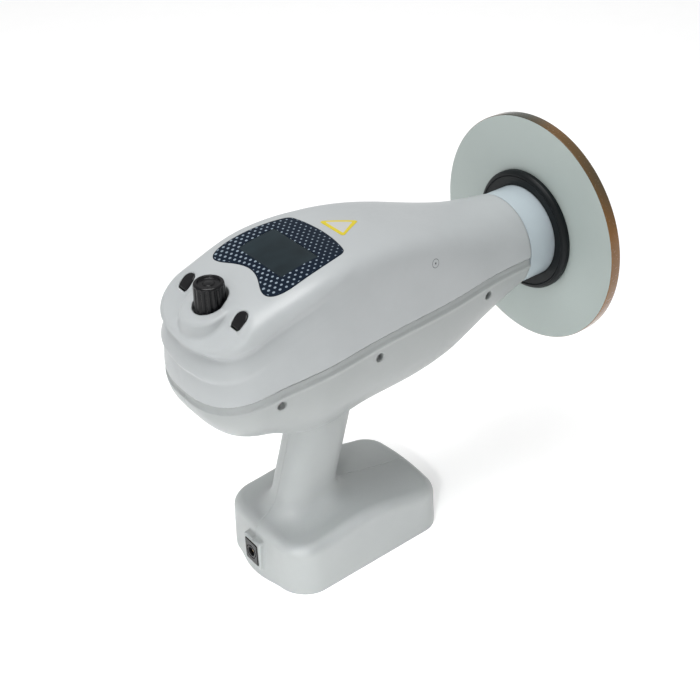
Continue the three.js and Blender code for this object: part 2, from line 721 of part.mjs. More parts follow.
function batteryHolder() {
  const front = CELL.rear + CELL.length;
  let tray = block([CELL.rear - 3, -31.5, BASE_PLATE + GAP], [front + 3.5, 31.5, 12]);
  for (const row of [-1, 0, 1]) {
    const y = row * CELL.pitch;
    tray = cut(tray, rod([CELL.rear - 0.4, y, CELL.z], [front + 1.6, y, CELL.z], CELL.radius + GAP, 20));
  }
  return tray;
}

add('battery_holder', batteryHolder(), 'darkPlastic');

// ---------------------------------------------------------------- harness through the grip

function gripHarness() {
  const path = new THREE.CatmullRomCurve3([
    new THREE.Vector3(-42, 0, 9),
    new THREE.Vector3(-39, 0, 26),
    new THREE.Vector3(-24, 0, 56),
    new THREE.Vector3(-12, 0, 96),
    new THREE.Vector3(-4, 0, 124),
    new THREE.Vector3(-2, 0, 150),
    new THREE.Vector3(-3, 0, 178),
  ]);
  const section = new THREE.Shape();
  section.absarc(0, 0, 2.4, 0, 2 * Math.PI, false);
  return new THREE.ExtrudeGeometry(section, {
    extrudePath: path,
    steps: 18,
    curveSegments: 4,
    bevelEnabled: false,
  });
}

add('grip_harness', gripHarness(), 'blackRubber');

// ---------------------------------------------------------------- cone tube and shield

add('cone_tube', turnedX([
  [CONE.spigotStart, CONE.bore], [CONE.spigotStart, CONE.spigot], [NECK_END + GAP, CONE.spigot],
  [NECK_END + GAP, CONE.outer], [CONE.front - 1, CONE.outer], [CONE.front, CONE.outer - 1],
  [CONE.front, CONE.bore + 0.8], [CONE.front - 0.8, CONE.bore], [CONE.spigotStart, CONE.bore],
]), 'tube', beamAssembly);

add('cone_window', turnedX([
  [CONE_WINDOW.rear, 0], [CONE_WINDOW.rear, CONE.bore - GAP],
  [CONE_WINDOW.rear + CONE_WINDOW.thickness, CONE.bore - GAP], [CONE_WINDOW.rear + CONE_WINDOW.thickness, 0],
]), 'glass', beamAssembly);

const discFront = DISC.rear + DISC.thickness;
const slip = CONE.outer + GAP;
const collarRear = DISC.rear - GAP - COLLAR.width;
add('shield_disc', turnedX([
  [DISC.rear, slip], [DISC.rear, DISC.radius - 0.6], [DISC.rear + 0.6, DISC.radius],
  [discFront - 0.6, DISC.radius], [discFront, DISC.radius - 0.6], [discFront, slip], [DISC.rear, slip],
], 56), 'shield', beamAssembly);
add('shield_collar', turnedX([
  [collarRear + 1.5, slip], [collarRear, slip + 1.5], [collarRear, COLLAR.outer - 2],
  [collarRear + 2, COLLAR.outer], [DISC.rear - GAP, COLLAR.outer], [DISC.rear - GAP, slip],
  [collarRear + 1.5, slip],
]), 'blackRubber', beamAssembly);
add('shield_retainer', turnedX(ringProfile(discFront + GAP, discFront + GAP + RETAINER.width, slip,
  RETAINER.outer)), 'blackRubber', beamAssembly);

export default unit;
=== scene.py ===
# Looks for the handheld intraoral X-ray unit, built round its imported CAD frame.
#
# Shapes are worked out in millimetres in the part's own frame (+X along the beam, +Y to the
# operator's left, +Z up, origin under the middle of the base) and turned into metres when a
# mesh is made. The moulded shells are one blended solid, contoured piece by piece.

import math

import bpy
import numpy as np
from mathutils import Matrix, Vector
from mathutils.geometry import delaunay_2d_cdt


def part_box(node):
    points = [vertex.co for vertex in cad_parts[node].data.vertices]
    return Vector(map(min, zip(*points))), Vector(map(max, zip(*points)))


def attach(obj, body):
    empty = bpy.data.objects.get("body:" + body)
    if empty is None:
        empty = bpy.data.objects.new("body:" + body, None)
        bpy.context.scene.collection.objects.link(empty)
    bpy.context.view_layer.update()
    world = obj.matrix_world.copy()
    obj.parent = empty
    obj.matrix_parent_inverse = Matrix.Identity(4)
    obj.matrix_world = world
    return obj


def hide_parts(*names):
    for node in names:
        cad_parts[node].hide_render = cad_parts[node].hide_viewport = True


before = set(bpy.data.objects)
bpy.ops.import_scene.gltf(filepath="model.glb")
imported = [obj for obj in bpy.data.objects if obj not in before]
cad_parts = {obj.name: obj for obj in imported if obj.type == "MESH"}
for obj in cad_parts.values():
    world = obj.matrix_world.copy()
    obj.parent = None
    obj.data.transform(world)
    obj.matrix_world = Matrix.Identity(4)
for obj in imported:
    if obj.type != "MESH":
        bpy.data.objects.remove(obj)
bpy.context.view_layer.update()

MM = 0.001
GAP = 0.3

# ---------------------------------------------------------------- driving dimensions

REAR, BREAK, NECK = -105.05, -70.0, 146.0
BEAM_Z = 176.7
STATIONS = np.array([  # x, half width, top, bottom
    (-70, 47.0, 222.6, 128.5),
    (-35, 50.0, 231.8, 112.0),
    (0, 46.5, 234.2, 113.0),
    (40, 43.0, 230.3, 113.6),
    (80, 39.1, 219.9, 119.1),
    (115, 33.6, 211.6, 131.0),
    (146, 32.4, 209.2, 144.2),
], float)
SEAM_DROP, SEAM_POWER = 11.6, 7.9
WALL, COVER_WALL = 3.0, 2.6

TREAD_TILT = 0.364  # the rear steps tilt down to the rear by 20 degrees
TURRET_X, TURRET_R, TURRET_TOP = -81.0, 18.0, 217.9
KNOB_X = -80.0
KNOB_BOTTOM, KNOB_TOP, KNOB_SKIRT_R, KNOB_TOP_R = 211.3, 230.3, 10.4, 9.2
KNOB_FLUTES = 16
POCKET_R, POCKET_CUP_R, POCKET_FLOOR = 11.2, 14.4, 210.2
BUTTON_X, BUTTON_Y, BUTTON_R = -78.4, 28.6, 4.7

GRIP_HALF_X, GRIP_HALF_Y, GRIP_SLOPE = 21.5, 15.5, 0.296
GRIP_X, GRIP_Z = -14.4, 88.3  # a point on the grip's raked middle line
BASE_HALF_X, BASE_HALF_Y, BASE_MIDDLE_Z = 65.0, 44, 34
INLET_Z, INLET_FACE = 17.8, -69.0
SCREEN_X, SCREEN_HALF_X, SCREEN_HALF_Y = -31.7, 13.2, 22.7
SCREWS = ((-66.0, 162.0), (8.0, 163.0), (107.0, 163.5))  # x and z of each, on the right side
SCREW_HOLE_R, SCREW_DEPTH = 3, 6

CONE_R, CONE_BORE_R, CONE_SPIGOT_R, CONE_START, CONE_FRONT = 32.2, 26.5, 28.6, 114, 186
DISC_X, DISC_T, DISC_R = 171.4, 8.0, 80.0
BOOT_R, BOOT_LIP_R = 42.5, 39.0
RING_R, RING_T = 39, 4.5

DOT_PITCH, DOT_TURN = (3.9, 6.75), 16  # millimetres between dots of a row and between rows, degrees
DOT_R_REAR, DOT_R_FRONT = 0.88, 0.52
NAVY, PALE_BLUE = (0.003, 0.009, 0.02), (0.25, 0.305, 0.36)


# ---------------------------------------------------------------- distance helpers

def spline(xs, ys):
    """Natural cubic spline through the points, straight before the first one."""
    n, h = len(xs), np.diff(xs)
    a, r = np.eye(n), np.zeros(n)
    for i in range(1, n - 1):
        a[i, i - 1:i + 2] = h[i - 1], 2 * (h[i - 1] + h[i]), h[i]
        r[i] = 6 * ((ys[i + 1] - ys[i]) / h[i] - (ys[i] - ys[i - 1]) / h[i - 1])
    m = np.linalg.solve(a, r)
    first = (ys[1] - ys[0]) / h[0] - h[0] * m[1] / 6

    def value(x):
        i = np.clip(np.searchsorted(xs, x) - 1, 0, n - 2)
        t = np.clip(x, xs[0], xs[-1]) - xs[i]
        b = (ys[i + 1] - ys[i]) / h[i] - h[i] * (2 * m[i] + m[i + 1]) / 6
        cubic = ys[i] + b * t + m[i] / 2 * t ** 2 + (m[i + 1] - m[i]) / (6 * h[i]) * t ** 3
        return cubic + first * np.minimum(x - xs[0], 0)

    return value


half_width, top_z, bottom_z = (spline(STATIONS[:, 0], STATIONS[:, k]) for k in (1, 2, 3))


def ramp(x, x0, x1):
    t = np.clip((x - x0) / (x1 - x0), 0, 1)
    return t * t * (3 - 2 * t)


def fillet(a, b, r):
    """Union of two distances with a round fillet."""
    return np.maximum(r, np.minimum(a, b)) - np.hypot(np.maximum(r - a, 0), np.maximum(r - b, 0))


def rounded(a, b, r):
    """Intersection of two distances with a round edge."""
    return np.minimum(-r, np.maximum(a, b)) + np.hypot(np.maximum(r + a, 0), np.maximum(r + b, 0))


def box_distance(px, py, hx, hy, r):
    """Plane distance to a box with round corners."""
    qx, qy = np.abs(px) - (hx - r), np.abs(py) - (hy - r)
    return np.hypot(np.maximum(qx, 0), np.maximum(qy, 0)) + np.minimum(np.maximum(qx, qy), 0) - r


# ---------------------------------------------------------------- the head

def seam_z(x):
    return BEAM_Z - SEAM_DROP * np.clip((NECK - x) / 250, 0, None) ** SEAM_POWER


def head(x, y, z, upper):
    """Distance to the smooth head, taken from its upper or its lower half. The section is a
    superellipse of power n, and power p rounds it off towards the rear."""
    over = np.maximum(x, BREAK)
    front = over + np.clip(14 - np.abs(x - BREAK), 0, None) ** 2 / 56
    w, h = half_width(front), np.abs(z - seam_z(x))
    if upper:
        reach = top_z(x) - seam_z(x)
        n = np.interp(x, (-80, 0, 80, NECK), (6.4, 7.3, 3.9, 2.05))
        rear_power = 3.3 + 1.9 * np.exp(-(y / 25) ** 2)
    else:
        reach = seam_z(x) - bottom_z(front)
        n = np.interp(x, (80, NECK), (2.5, 2.05))
        rear_power = 1.96
    a, b = np.abs(y) / w + 1e-6, h / reach + 1e-6
    an, bn = a ** n, b ** n
    k = (an + bn) ** (1 / n)
    side = a ** 3 if upper else an
    p = (2.45 * side + rear_power * bn) / (side + bn)
    u = np.clip((BREAK - x) / (BREAK - REAR), 0, None)
    g = (k ** p + u ** p) ** (1 / p)
    in_k, in_u = (k / g) ** (p - 1), (u / g) ** (p - 1)
    slope = np.sqrt((in_k * (a / k) ** (n - 1) / w) ** 2 + (in_k * (b / k) ** (n - 1) / reach) ** 2
                    + (in_u / (BREAK - REAR)) ** 2)
    return (g - 1) / slope


STEP_PITCH = 0.1
STEP_Z = np.arange(170, 225, STEP_PITCH)


def soft_profile(points, blur):
    """A polyline of (height, value) with its corners blurred."""
    line = np.interp(STEP_Z, *zip(*points))
    reach = int(3 * blur / STEP_PITCH)
    kernel = np.exp(-(np.arange(-reach, reach + 1) * STEP_PITCH / blur) ** 2 / 2)
    return np.convolve(np.pad(line, reach, mode="edge"), kernel / kernel.sum(), mode="valid")


# How far the second and third step stand in, by height along the tilted steps.
STEP_2 = soft_profile([(190, 0), (192.8, -0.15), (197, -2.3), (202.6, -5.0), (207.8, -0.1), (212, 0)], 0.6)
STEP_3 = soft_profile([(172, -0.2), (177, -0.5), (188.5, -2.0), (192.6, 0.1), (196, 0)], 0.6)


def steps(x, y, z):
    """How far the stepped rear stands in from the smooth head."""
    zeta = z - TREAD_TILT * (x - KNOB_X) + 3.5 * ramp(x, -60, 0)
    second = np.interp(zeta, STEP_Z, STEP_2) * (1 - ramp(x, -78, 20))
    third = np.interp(zeta, STEP_Z, STEP_3) * (1 - ramp(x, -95, -52))
    return (second + third) * (1 - 0.3 * ramp(np.abs(y), 14, 40))


def plateau(x, y, z):
    """Distance to the cover without the knob's turret."""
    zeta = z - TREAD_TILT * (x - KNOB_X)
    around = np.degrees(np.arctan2(np.abs(y), TURRET_X - x))
    tread = 209.4 + 8.8 * ramp(around, 45, 125) + 0.3 * np.maximum(x + 84, 0)
    return rounded(head(x, y, z, True) - steps(x, y, z), (zeta - tread) * 0.94, 2.0)


def cover_skin(x, y, z):
    """Distance to the cover's outer surface, without its openings."""
    zeta = z - TREAD_TILT * (x - KNOB_X)
    r = np.hypot(x - TURRET_X, y)
    turret = rounded(r - TURRET_R - 0.1 * (TURRET_TOP - zeta), (zeta - TURRET_TOP) * 0.94, 1.7)
    return fillet(plateau(x, y, z), turret, 1.5)


def button_outline(x, y, side):
    """Plan distance to a push button: straight behind and round in front."""
    dx, dy = x - BUTTON_X, np.abs(y - side * BUTTON_Y)
    slant = (dy - BUTTON_R - (dx + 1) * 0.2) * 0.98
    sides = np.where(dx > 0, np.hypot(dx, dy), dy) - BUTTON_R
    return rounded(np.where(dx > -1, sides, slant), -4.0 - dx, 1.2)


def cover(x, y, z):
    """Distance to the top cover, with its knob pocket, key slots and window opening."""
    h = z - seam_z(x)
    outer = cover_skin(x, y, z)
    solid = np.maximum(outer, -(plateau(x, y, z) + COVER_WALL))
    r = np.hypot(x - KNOB_X, y)
    cup = np.maximum(np.maximum(r - POCKET_CUP_R, POCKET_FLOOR - 2.4 - z), outer)
    solid = np.minimum(solid, cup)
    solid = rounded(solid, -np.maximum(r - POCKET_R, POCKET_FLOOR - z), 0.7)
    solid = np.maximum(solid, 4.2 - r)
    for side in (-1, 1):
        solid = rounded(solid, 0.35 - button_outline(x, y, side), 0.7)
    window = box_distance(x - SCREEN_X, y, SCREEN_HALF_X, SCREEN_HALF_Y, 0.8)
    solid = np.where(z > 200, np.maximum(solid, 0.3 - window), solid)
    solid = rounded(solid, GAP / 2 - h, 0.6)
    return rounded(solid, x - NECK, 0.8)


# ---------------------------------------------------------------- grip, base and lower housing

def grip(x, y, z):
    """Distance to the raked grip, without its flares."""
    lean = math.cos(math.atan(GRIP_SLOPE))
    u = np.abs(x - GRIP_X - GRIP_SLOPE * (z - GRIP_Z)) * lean / (GRIP_HALF_X * lean) + 1e-6
    v = np.abs(y) / GRIP_HALF_Y + 1e-6
    n = 2.6
    k = (u ** n + v ** n) ** (1 / n)
    slope = np.hypot((u / k) ** (n - 1) / (GRIP_HALF_X * lean), (v / k) ** (n - 1) / GRIP_HALF_Y)
    return (k - 1) / slope


def base_top(x, y):
    """Height of the base's top: humped round the grip, crowned across, lower at the front."""
    edge = BASE_MIDDLE_Z - 0.035 * x - 2.2 * ramp(x, 5, 62) + 7.5 * np.exp(-(x / 36) ** 2)
    return edge + 2.5 * (1 - (y / BASE_HALF_Y) ** 2)


def base(x, y, z):
    width = 44.6 - 0.034 * (x + 34)
    along = np.abs(x) + 4 * (y / BASE_HALF_Y) ** 2 * (x / BASE_HALF_X) ** 2  # its ends are bowed
    corner = np.where(x < 0, 21.0, 16.0)
    side = box_distance(along, y, BASE_HALF_X, width, corner) + 0.035 * np.maximum(z - 4, 0)
    return rounded(side, (z - base_top(x, y)) * 0.97, 6.5)


def boss(x, y, z):
    """Distance to the raised block round the charging inlet."""
    around = box_distance(y, z - INLET_Z, 9.5, 11.25, 2.2)
    return rounded(around, np.maximum(INLET_FACE - x, x + 50), 0.9)


def lower_solid(x, y, z):
    """Distance to the joined head underside, grip and base, without the seam strip."""
    h = z - seam_z(x)
    under = head(x, y, z, False)
    stem = np.maximum(grip(x, y, z), z - 150)
    foot = fillet(base(x, y, z), stem, 15)
    foot = np.where(z < 75, foot, stem)
    return fillet(under, foot, 8), under, h


# The strip under the seam: how far it stands in, by height below the seam.
STRIP_H = np.arange(-14, 1, 0.1)
STRIP_INSET = np.interp(STRIP_H, (-9, -7.6, -6.5, -5.7, -4.9, -4.2, 0), (0, -0.2, -0.7, -0.6, 0.3, 0.9, 1.5))
STRIP_INSET = np.convolve(np.pad(STRIP_INSET, 4, mode="edge"), np.ones(9) / 9, mode="valid")


def lower_housing(side):
    """Field of the left (1) or right (-1) housing, with its seam strip, tongue and screw holes."""
    def field(x, y, z):
        whole, under, h = lower_solid(x, y, z)
        rear = ramp(-x, 55, 100)
        edge = np.interp(h, STRIP_H, STRIP_INSET)
        edge = np.where(edge > 0, edge * (1 + 0.4 * rear), edge * (1 - rear))
        strip = rounded(whole + edge, h + 1.0, 0.3)
        tongue = np.maximum(under + 3.0, h + GAP / 2)
        outer = np.minimum(strip, tongue)
        outer = fillet(outer, boss(x, y, z), 1.2)
        thick = WALL + 0.2 + 1.6 * ramp(h, -12, -7)
        solid = np.maximum(outer, -(whole + thick))
        socket = box_distance(y, z - INLET_Z, 7.25, 9.0, 1.2)
        solid = np.maximum(solid, -np.maximum(socket, x + 54))
        if side < 0:
            for sx, sz in SCREWS:
                r = np.hypot(x - sx, z - sz)
                floor = -wall_y(sx, sz) + SCREW_DEPTH
                post = np.maximum(np.maximum(r - 5, whole + 1), y - floor - 6)
                solid = np.minimum(solid, post)
                solid = rounded(solid, -np.maximum(r - SCREW_HOLE_R, y - floor), 0.5)
        solid = rounded(solid, GAP / 2 - side * y, 0.35)
        solid = rounded(solid, x - NECK, 0.8)
        return np.maximum(solid, 0.05 - z)
    return field


def wall_y(x, z):
    """Half width of the head's lower half at a height."""
    down = seam_z(x) - bottom_z(max(x, BREAK))
    n = float(np.interp(x, (80, NECK), (2.5, 2.05)))
    return float(half_width(max(x, BREAK)) * (1 - ((seam_z(x) - z) / down) ** n) ** (1 / n))


# ---------------------------------------------------------------- contouring

def gradient(field, p, h=0.06):
    """Unit direction in which a field grows at each point."""
    g = np.empty_like(p)
    for k in range(3):
        step = np.zeros(3)
        step[k] = h
        g[:, k] = field(*(p + step).T) - field(*(p - step).T)
    return g / np.maximum(np.linalg.norm(g, axis=1, keepdims=True), 1e-9)


def crossings(field, values, axes, axis):
    """Grid edges along one axis that cross the surface: their index, point and direction."""
    low, high = [slice(None)] * 3, [slice(None)] * 3
    low[axis], high[axis] = slice(0, -1), slice(1, None)
    inside = values < 0
    index = np.argwhere(inside[tuple(low)] != inside[tuple(high)])
    for other in ((axis + 1) % 3, (axis + 2) % 3):
        keep = (index[:, other] > 0) & (index[:, other] < values.shape[other] - 1)
        index = index[keep]
    after = index.copy()
    after[:, axis] += 1
    a, b = (np.stack([axes[k][i[:, k]] for k in range(3)], 1) for i in (index, after))
    va, vb = (values[tuple(i.T)].astype(float) for i in (index, after))
    outward = va < 0
    ta, tb = np.zeros(len(index)), np.ones(len(index))
    for _ in range(4):
        t = ta + (tb - ta) * np.clip(va / (va - vb), 0.06, 0.94)
        v = field(*(a + (b - a) * t[:, None]).T)
        first = (v < 0) == (va < 0)
        ta, va = np.where(first, t, ta), np.where(first, v, va)
        tb, vb = np.where(first, tb, t), np.where(first, vb, v)
    t = ta + (tb - ta) * va / (va - vb)
    return index, a + (b - a) * t[:, None], outward


def contour(field, xs, ys, zs):
    """Quads of the surface where field is 0 (below 0 inside), with its sharp edges kept.
    Returns points, quads and a smooth normal at each point."""
    axes = (xs, ys, zs)
    values = np.empty((len(xs), len(ys), len(zs)), np.float32)
    for i in range(0, len(xs), 16):
        values[i:i + 16] = field(*np.meshgrid(xs[i:i + 16], ys, zs, indexing="ij"))
    cells = np.array(values.shape) - 1
    around, points, faces = [], [], []
    for axis in range(3):
        index, p, outward = crossings(field, values, axes, axis)
        b, c = (axis + 1) % 3, (axis + 2) % 3
        corners = []
        for db, dc in ((1, 1), (0, 1), (0, 0), (1, 0)):
            cell = index.copy()
            cell[:, b] -= db
            cell[:, c] -= dc
            corners.append((cell[:, 0] * cells[1] + cell[:, 1]) * cells[2] + cell[:, 2])
        quad = np.stack(corners, 1)
        quad[~outward] = quad[~outward][:, ::-1]
        around.append(np.stack(corners, 1))
        points.append(p)
        faces.append(quad)
    p = np.concatenate(points)
    n = gradient(field, p)
    ids, inverse = np.unique(np.concatenate(faces), return_inverse=True)
    inverse = inverse.reshape(-1, 4)
    where = np.unique(np.concatenate(around), return_inverse=True)[1].reshape(-1, 4)
    size = len(ids)

    def gather(value):
        total = np.zeros(size)
        for k in range(4):
            total += np.bincount(where[:, k], value, size)
        return total

    count = gather(np.ones(len(p)))
    mean = np.stack([gather(p[:, k]) for k in range(3)], 1) / count[:, None]
    dot = (n * p).sum(1)
    a = np.empty((size, 3, 3))
    for i in range(3):
        for j in range(i, 3):
            a[:, i, j] = a[:, j, i] = gather(n[:, i] * n[:, j])
    rhs = np.stack([gather(n[:, k] * dot) for k in range(3)], 1)
    rhs -= np.einsum("nij,nj->ni", a, mean)
    a += np.eye(3) * (0.03 * count)[:, None, None]
    place = mean + np.linalg.solve(a, rhs[:, :, None])[:, :, 0]
    i, rest = np.divmod(ids, cells[1] * cells[2])
    j, k = np.divmod(rest, cells[2])
    for axis, at in enumerate((i, j, k)):
        place[:, axis] = np.clip(place[:, axis], axes[axis][at], axes[axis][at + 1])
    normal = np.stack([gather(n[:, k]) for k in range(3)], 1)
    normal /= np.maximum(np.linalg.norm(normal, axis=1, keepdims=True), 1e-9)
    return place, inverse, normal


def ladder(*stops):
    """Grid lines between stops of (position, spacing after it)."""
    line = [stops[0][0]]
    for (start, step), (end, _) in zip(stops, stops[1:]):
        count = max(1, round((end - start) / step))
        line += list(np.linspace(start, end, count + 1)[1:])
    return np.array(line)


# ---------------------------------------------------------------- meshes

def make(name, points, faces, body, material, replaces=(), normals=None):
    """A smooth-shaded piece from points in millimetres and an array of equal-sized faces."""
    mesh = bpy.data.meshes.new(name)
    points = np.asarray(points, float) * MM
    mesh.vertices.add(len(points))
    mesh.vertices.foreach_set("co", points.ravel())
    mesh.loops.add(faces.size)
    mesh.loops.foreach_set("vertex_index", faces.astype(np.int32).ravel())
    mesh.polygons.add(len(faces))
    starts = np.arange(0, faces.size, faces.shape[1], dtype=np.int32)
    mesh.polygons.foreach_set("loop_start", starts)
    mesh.update(calc_edges=True)
    mesh.polygons.foreach_set("use_smooth", np.full(len(mesh.polygons), True))
    if normals is not None:
        mesh.normals_split_custom_set_from_vertices(normals.tolist())
    mesh.materials.append(material)
    obj = bpy.data.objects.new(name, mesh)
    bpy.context.scene.collection.objects.link(obj)
    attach(obj, body)
    if replaces:
        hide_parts(*replaces)
    return obj


def moulded(name, field, grid, body, material, replaces):
    """A piece contoured from its distance field on a grid of x, y and z ladders."""
    points, quads, normals = contour(field, *grid)
    make(name, points, quads, body, material, [replaces], normals)


# ---------------------------------------------------------------- materials

def nodes_of(name):
    """A new material with its node tree, its shader and the piece's own coordinates."""
    material = bpy.data.materials.new(name)
    material.use_nodes = True
    tree = material.node_tree
    shader = tree.nodes["Principled BSDF"]
    coordinates = tree.nodes.new("ShaderNodeTexCoord")
    return material, tree, shader, coordinates.outputs["Object"]


def noise(tree, coordinates, scale, detail=3.0):
    node = tree.nodes.new("ShaderNodeTexNoise")
    node.inputs["Scale"].default_value = scale
    node.inputs["Detail"].default_value = detail
    node.inputs["Roughness"].default_value = 0.55
    tree.links.new(coordinates, node.inputs["Vector"])
    return node.outputs["Fac"]


def spread(tree, value, low, high, from_low=0.3, from_high=0.7):
    """Maps one range of a value on to another, and holds it inside."""
    node = tree.nodes.new("ShaderNodeMapRange")
    node.inputs["From Min"].default_value = from_low
    node.inputs["From Max"].default_value = from_high
    node.inputs["To Min"].default_value = low
    node.inputs["To Max"].default_value = high
    tree.links.new(value, node.inputs["Value"])
    return node.outputs["Result"]


def mix(tree, factor, a, b):
    """Colour a to b by a factor; either may be a socket."""
    node = tree.nodes.new("ShaderNodeMix")
    node.data_type = "RGBA"
    tree.links.new(factor, node.inputs[0])
    for socket, value in ((node.inputs[6], a), (node.inputs[7], b)):
        if hasattr(value, "is_output"):
            tree.links.new(value, socket)
        else:
            socket.default_value = (*value, 1.0)
    return node.outputs[2]


def bump(tree, shader, height, strength, distance):
    node = tree.nodes.new("ShaderNodeBump")
    node.inputs["Strength"].default_value = strength
    node.inputs["Distance"].default_value = distance
    tree.links.new(height, node.inputs["Height"])
    tree.links.new(node.outputs["Normal"], shader.inputs["Normal"])


def surface(name, color, rough, metallic=0.0, vary=0.03, blotch=40.0, grain=1800.0, relief=0.08, wear=0.0,
            coat=0.0, shine=0.5):
    """A solid finish: slow colour drift, uneven gloss, fine grain and, if asked, paler worn edges."""
    material, tree, shader, at = nodes_of(name)
    drift = noise(tree, at, blotch)
    darker, lighter = ([c * (1 + s * vary) for c in color] for s in (-1, 1))
    tint = mix(tree, spread(tree, drift, 0, 1), darker, lighter)
    if wear:
        edges = tree.nodes.new("ShaderNodeNewGeometry").outputs["Pointiness"]
        worn = spread(tree, edges, 0, wear, 0.52, 0.62)
        tint = mix(tree, worn, tint, [min(1.0, c * 1.6 + 0.08) for c in color])
    tree.links.new(tint, shader.inputs["Base Color"])
    gloss = noise(tree, at, blotch * 6, 4.0)
    tree.links.new(spread(tree, gloss, rough * 0.9, rough * 1.12), shader.inputs["Roughness"])
    shader.inputs["Metallic"].default_value = metallic
    shader.inputs["Coat Weight"].default_value = coat
    shader.inputs["Specular IOR Level"].default_value = shine
    bump(tree, shader, noise(tree, at, grain, 2.0), relief, 0.0001)
    return material


def dotted_film():
    """Navy film with staggered pale dots that shrink towards the front."""
    material, tree, shader, at = nodes_of("dotted_film")

    def math_node(kind, a, b=None):
        node = tree.nodes.new("ShaderNodeMath")
        node.operation = kind
        for socket, value in zip(node.inputs, (a, b)):
            if hasattr(value, "is_output"):
                tree.links.new(value, socket)
            elif value is not None:
                socket.default_value = value
        return node.outputs[0]

    turn = tree.nodes.new("ShaderNodeVectorRotate")
    turn.inputs["Angle"].default_value = math.radians(DOT_TURN)
    tree.links.new(at, turn.inputs["Vector"])
    split = tree.nodes.new("ShaderNodeSeparateXYZ")
    tree.links.new(turn.outputs[0], split.inputs[0])
    x, y = split.outputs[0], split.outputs[1]
    nearest = []
    for offset in (0.0, 0.5):  # the plain rows, then the staggered ones
        legs = []
        for value, pitch in ((x, DOT_PITCH[0]), (y, DOT_PITCH[1])):
            pitches = math_node("ADD", math_node("DIVIDE", value, pitch * MM), 100 + offset)
            from_dot = math_node("SUBTRACT", math_node("FRACT", pitches), 0.5)
            legs.append(math_node("MULTIPLY", from_dot, pitch))
        squares = [math_node("POWER", math_node("ABSOLUTE", leg), 2.0) for leg in legs]
        nearest.append(math_node("SQRT", math_node("ADD", *squares)))
    distance = math_node("MINIMUM", *nearest)
    size = spread(tree, x, DOT_R_REAR, DOT_R_FRONT, -0.05, 0.0)
    edge = math_node("SUBTRACT", distance, size)
    inside = spread(tree, edge, 1, 0, -0.06, 0.06)
    tree.links.new(mix(tree, inside, NAVY, PALE_BLUE), shader.inputs["Base Color"])
    shader.inputs["Specular IOR Level"].default_value = 0.1
    tree.links.new(spread(tree, noise(tree, at, 300), 0.28, 0.36), shader.inputs["Roughness"])
    bump(tree, shader, inside, 0.12, 0.00003)
    return material


def shield_edge():
    """The cut rim of the tinted sheet: brown and olive, glossy."""
    material, tree, shader, at = nodes_of("shield_edge")
    drift = spread(tree, noise(tree, at, 14.0, 1.0), 0, 1, 0.42, 0.6)
    tree.links.new(mix(tree, drift, (0.2, 0.085, 0.012), (0.022, 0.025, 0.01)), shader.inputs["Base Color"])
    tree.links.new(spread(tree, noise(tree, at, 500), 0.16, 0.3), shader.inputs["Roughness"])
    shader.inputs["Coat Weight"].default_value = 0.4
    bump(tree, shader, noise(tree, at, 900), 0.1, 0.0001)
    return material


shell_plastic = surface("shell_plastic", (0.43, 0.452, 0.46), 0.34, vary=0.02, relief=0.1, wear=0.1)
# The lower housings are the cover's plastic painted darker: painted shade for the head's underside, the grip and
# the base.
lower_plastic_painted_shade = surface("lower_plastic_painted_shade", (0.365, 0.385, 0.384), 0.36, vary=0.02, relief=0.1, wear=0.1)
tube_plastic = surface("tube_plastic", (0.44, 0.505, 0.54), 0.24, vary=0.015, relief=0.05)
black_plastic = surface("black_plastic", (0.004, 0.004, 0.005), 0.2, vary=0.1, relief=0.04, wear=0.04, shine=0.3)
black_rubber = surface("black_rubber", (0.004, 0.006, 0.007), 0.42, vary=0.15, relief=0.15, blotch=90, shine=0.2)
dark_plastic = surface("dark_plastic", (0.05, 0.052, 0.055), 0.45, relief=0.25)
border_film = surface("border_film", NAVY, 0.3, relief=0.03, shine=0.1)
window_glass = surface("window_glass", (0.014, 0.023, 0.028), 0.14, vary=0.35, blotch=30, relief=0.01, shine=0.15)
clear_window = surface("clear_window", (0.5, 0.54, 0.56), 0.15, relief=0.02)
yellow_print = surface("yellow_print", (0.62, 0.5, 0.012), 0.34, vary=0.03, relief=0.05)
white_print = surface("white_print", (0.5, 0.5, 0.48), 0.34, relief=0.05)
grey_print = surface("grey_print", (0.08, 0.085, 0.09), 0.4, relief=0.02)
sheet_film = surface("sheet_film", (0.43, 0.49, 0.47), 0.4, vary=0.025, blotch=12, relief=0.06)
sheet_edge = shield_edge()
steel = surface("steel", (0.5, 0.5, 0.51), 0.3, 1.0, vary=0.08, relief=0.2, grain=2600)
bare_metal = surface("bare_metal", (0.58, 0.59, 0.6), 0.36, 1.0, vary=0.05, relief=0.25, grain=2400)
dark_metal = surface("dark_metal", (0.1, 0.11, 0.12), 0.5, 0.6, vary=0.1, relief=0.3)
brass = surface("brass", (0.6, 0.44, 0.16), 0.3, 1.0, vary=0.08, relief=0.15)
copper = surface("copper", (0.55, 0.25, 0.12), 0.35, 1.0, vary=0.1, relief=0.2)
circuit_board = surface("circuit_board", (0.012, 0.09, 0.04), 0.3, vary=0.2, blotch=220, relief=0.2, grain=700)
cell_wrap = surface("cell_wrap", (0.03, 0.14, 0.4), 0.28, vary=0.05, relief=0.08)

FINISHES = {
    "shell_white": shell_plastic, "tube_white": tube_plastic, "panel_film": border_film,
    "screen_glass": window_glass, "tube_clear": clear_window, "label_yellow": yellow_print,
    "black_gloss": black_plastic, "dark_plastic": dark_plastic, "black_rubber": black_rubber,
    "shield_sheet": sheet_film, "steel": steel, "bare_metal": bare_metal, "dark_metal": dark_metal,
    "brass": brass, "copper": copper, "circuit_board": circuit_board, "cell_wrap": cell_wrap,
}
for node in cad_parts.values():
    for held in node.material_slots:
        held.material = FINISHES[held.material.name.split(".")[0]]

# ---------------------------------------------------------------- moulded shells

